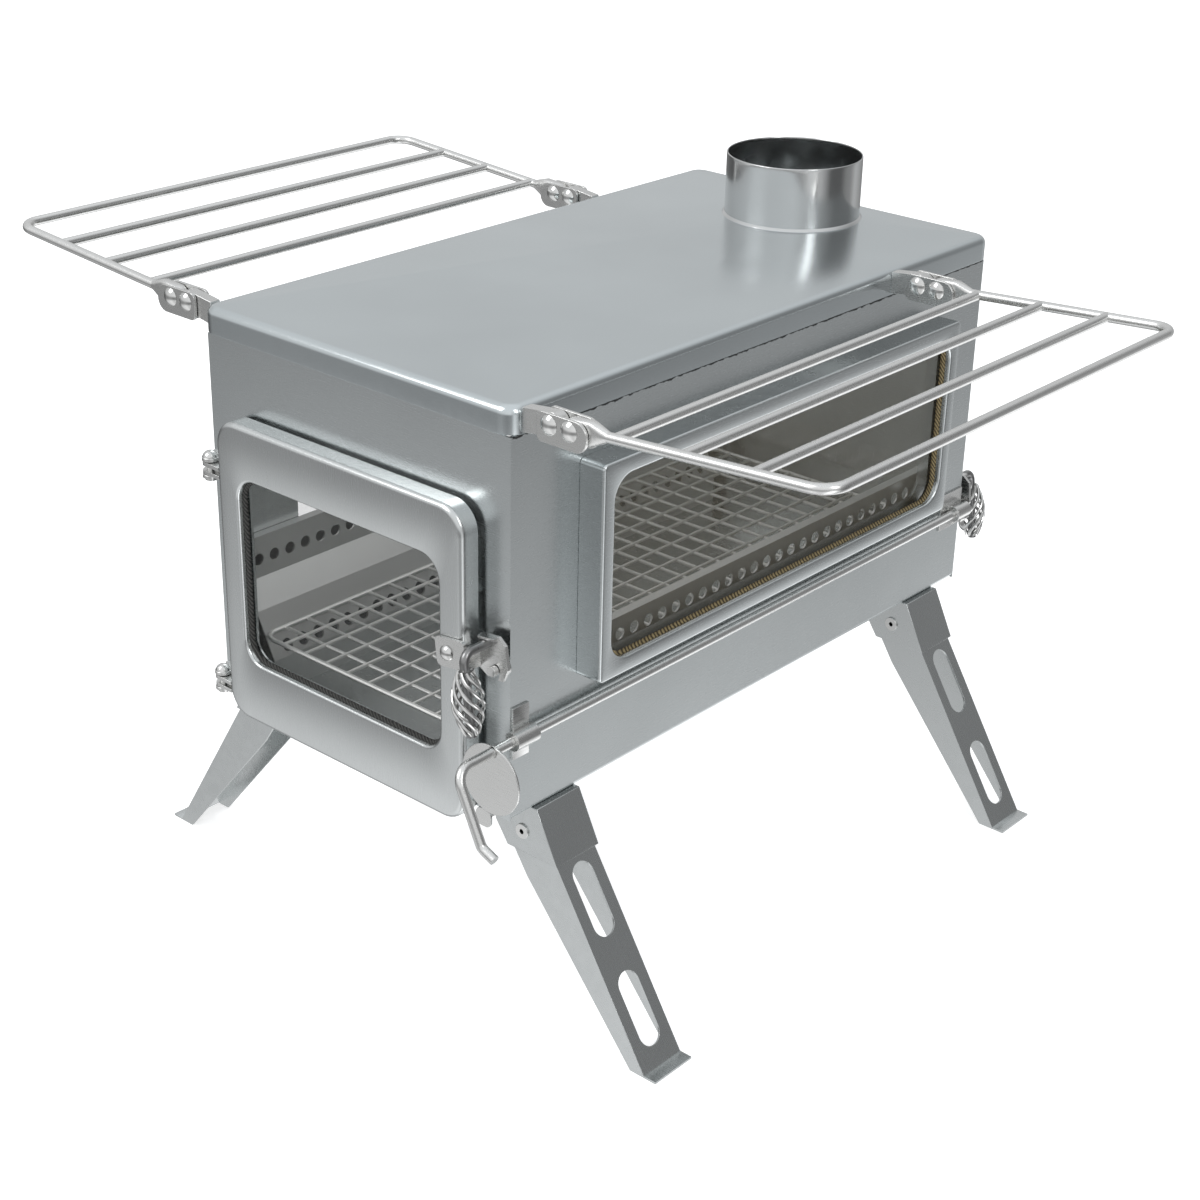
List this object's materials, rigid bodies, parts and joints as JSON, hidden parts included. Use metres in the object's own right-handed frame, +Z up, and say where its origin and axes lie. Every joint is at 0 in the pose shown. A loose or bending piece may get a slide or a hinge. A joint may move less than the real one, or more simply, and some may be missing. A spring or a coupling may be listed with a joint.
{
  "type": "tent wood stove",
  "caption": "Folding steel tent stove with windowed firebox, flue collar, folding legs, folding side shelves, latched doors and a crank rod.",
  "frame": {"origin": "on the ground under the middle of the stove's outline", "axes": "+Z up, +Y towards the rear with the flue, +X to the right seen from the front door"},
  "size_m": [0.5354, 0.4534, 0.3645],
  "materials": {
    "sheet_steel": "brushed stainless sheet",
    "leg_steel": "brushed stainless sheet, pressed",
    "bright_steel": "polished stainless bar and rivets",
    "inner_steel": "plain stainless sheet",
    "glass": "clear heatproof glass",
    "rope": "woven glass rope",
    "dark_rope": "black glass rope"
  },
  "bodies": {
    "firebox": {"body_shell": "sheet_steel", "front_panel": "sheet_steel", "rear_panel": "sheet_steel", "top_plate": "sheet_steel", "flue_collar": "sheet_steel", "flue_weld_bead": "bright_steel", "smoke_baffle": "inner_steel", "baffle_rails": "inner_steel", "liner_right": "inner_steel", "liner_left": "inner_steel", "grate": "inner_steel", "slide_rivets": "bright_steel", "window_frame_right": "sheet_steel", "window_frame_left": "sheet_steel", "window_rope_right": "rope", "window_rope_left": "rope", "window_glass_right": "glass", "window_glass_left": "glass", "window_retainer_right": "sheet_steel", "window_retainer_left": "sheet_steel", "hinge_brackets": "sheet_steel", "hinge_pins": "bright_steel", "latch_studs": "bright_steel", "stud_washers": "bright_steel", "leg_brackets": "leg_steel", "leg_rivets": "bright_steel", "shelf_ears": "bright_steel", "shelf_ear_rivets": "bright_steel", "rod_ring": "bright_steel", "rod_strap": "inner_steel"},
    "front_door_leaf": {"front_door": "sheet_steel", "front_door_ears": "sheet_steel", "front_latch_rivet": "bright_steel", "door_glass": "glass", "door_glass_rope": "dark_rope", "door_glass_retainer": "sheet_steel", "door_retainer_studs": "bright_steel"},
    "front_latch": {"front_latch_lever": "sheet_steel", "front_handle_shank": "bright_steel", "front_handle_cage": "bright_steel"},
    "rear_door_leaf": {"rear_door": "sheet_steel", "rear_door_ears": "sheet_steel", "rear_latch_rivet": "bright_steel"},
    "rear_latch": {"rear_latch_lever": "sheet_steel", "rear_handle_shank": "bright_steel", "rear_handle_cage": "bright_steel"},
    "front_right_leg": {"leg_front_right": "leg_steel"},
    "rear_right_leg": {"leg_rear_right": "leg_steel"},
    "front_left_leg": {"leg_front_left": "leg_steel"},
    "rear_left_leg": {"leg_rear_left": "leg_steel"},
    "right_links": {"shelf_links_right": "bright_steel", "link_rivets_right": "bright_steel"},
    "left_links": {"shelf_links_left": "bright_steel", "link_rivets_left": "bright_steel"},
    "right_shelf": {"shelf_right": "bright_steel"},
    "left_shelf": {"shelf_left": "bright_steel"},
    "crank_rod": {"side_rod": "bright_steel", "rod_disc": "bright_steel"},
    "air_control": {"air_slide": "sheet_steel"}
  },
  "joints": [
    {"name": "front_door_swing", "type": "hinge", "parent": "firebox", "child": "front_door_leaf", "pos_m": [-0.095, -0.19325, 0.18203], "axis": [0, 0, -1], "range_deg": [0, 110]},
    {"name": "front_latch_lift", "type": "hinge", "parent": "front_door_leaf", "child": "front_latch", "pos_m": [0.0767, -0.19925, 0.20803], "axis": [0, -1, 0], "range_deg": [0, 18]},
    {"name": "rear_door_swing", "type": "hinge", "parent": "firebox", "child": "rear_door_leaf", "pos_m": [-0.095, 0.20475, 0.16203], "axis": [0, 0, 1], "range_deg": [0, 110]},
    {"name": "rear_latch_lift", "type": "hinge", "parent": "rear_door_leaf", "child": "rear_latch", "pos_m": [0.0767, 0.21075, 0.17203], "axis": [0, -1, 0], "range_deg": [0, 18]},
    {"name": "front_right_leg_fold", "type": "hinge", "parent": "firebox", "child": "front_right_leg", "pos_m": [0.095, -0.15295, 0.10653], "axis": [0, 1, 0], "range_deg": [0, 122]},
    {"name": "rear_right_leg_fold", "type": "hinge", "parent": "firebox", "child": "rear_right_leg", "pos_m": [0.095, 0.16055, 0.10653], "axis": [0, 1, 0], "range_deg": [0, 122]},
    {"name": "front_left_leg_fold", "type": "hinge", "parent": "firebox", "child": "front_left_leg", "pos_m": [-0.095, -0.15295, 0.10653], "axis": [0, -1, 0], "range_deg": [0, 95]},
    {"name": "rear_left_leg_fold", "type": "hinge", "parent": "firebox", "child": "rear_left_leg", "pos_m": [-0.095, 0.16055, 0.10653], "axis": [0, -1, 0], "range_deg": [0, 95]},
    {"name": "right_links_turn", "type": "hinge", "parent": "firebox", "child": "right_links", "pos_m": [0.1215, -0.03625, 0.32603], "axis": [0, -1, 0], "range_deg": [0, 90]},
    {"name": "right_shelf_fold", "type": "hinge", "parent": "right_links", "child": "right_shelf", "pos_m": [0.133, -0.03625, 0.32603], "axis": [0, -1, 0], "range_deg": [0, 86]},
    {"name": "left_links_turn", "type": "hinge", "parent": "firebox", "child": "left_links", "pos_m": [-0.1215, -0.03625, 0.32603], "axis": [0, 1, 0], "range_deg": [0, 90]},
    {"name": "left_shelf_fold", "type": "hinge", "parent": "left_links", "child": "left_shelf", "pos_m": [-0.133, -0.03625, 0.32603], "axis": [0, 1, 0], "range_deg": [0, 82.5]},
    {"name": "rod_turn", "type": "hinge", "parent": "firebox", "child": "crank_rod", "pos_m": [0.106, -0.18425, 0.16753], "axis": [0, 1, 0], "range_deg": [0, 55]},
    {"name": "air_slide_move", "type": "slide", "parent": "firebox", "child": "air_control", "axis": [-1, 0, 0], "range_m": [0, 0.012]}
  ]
}
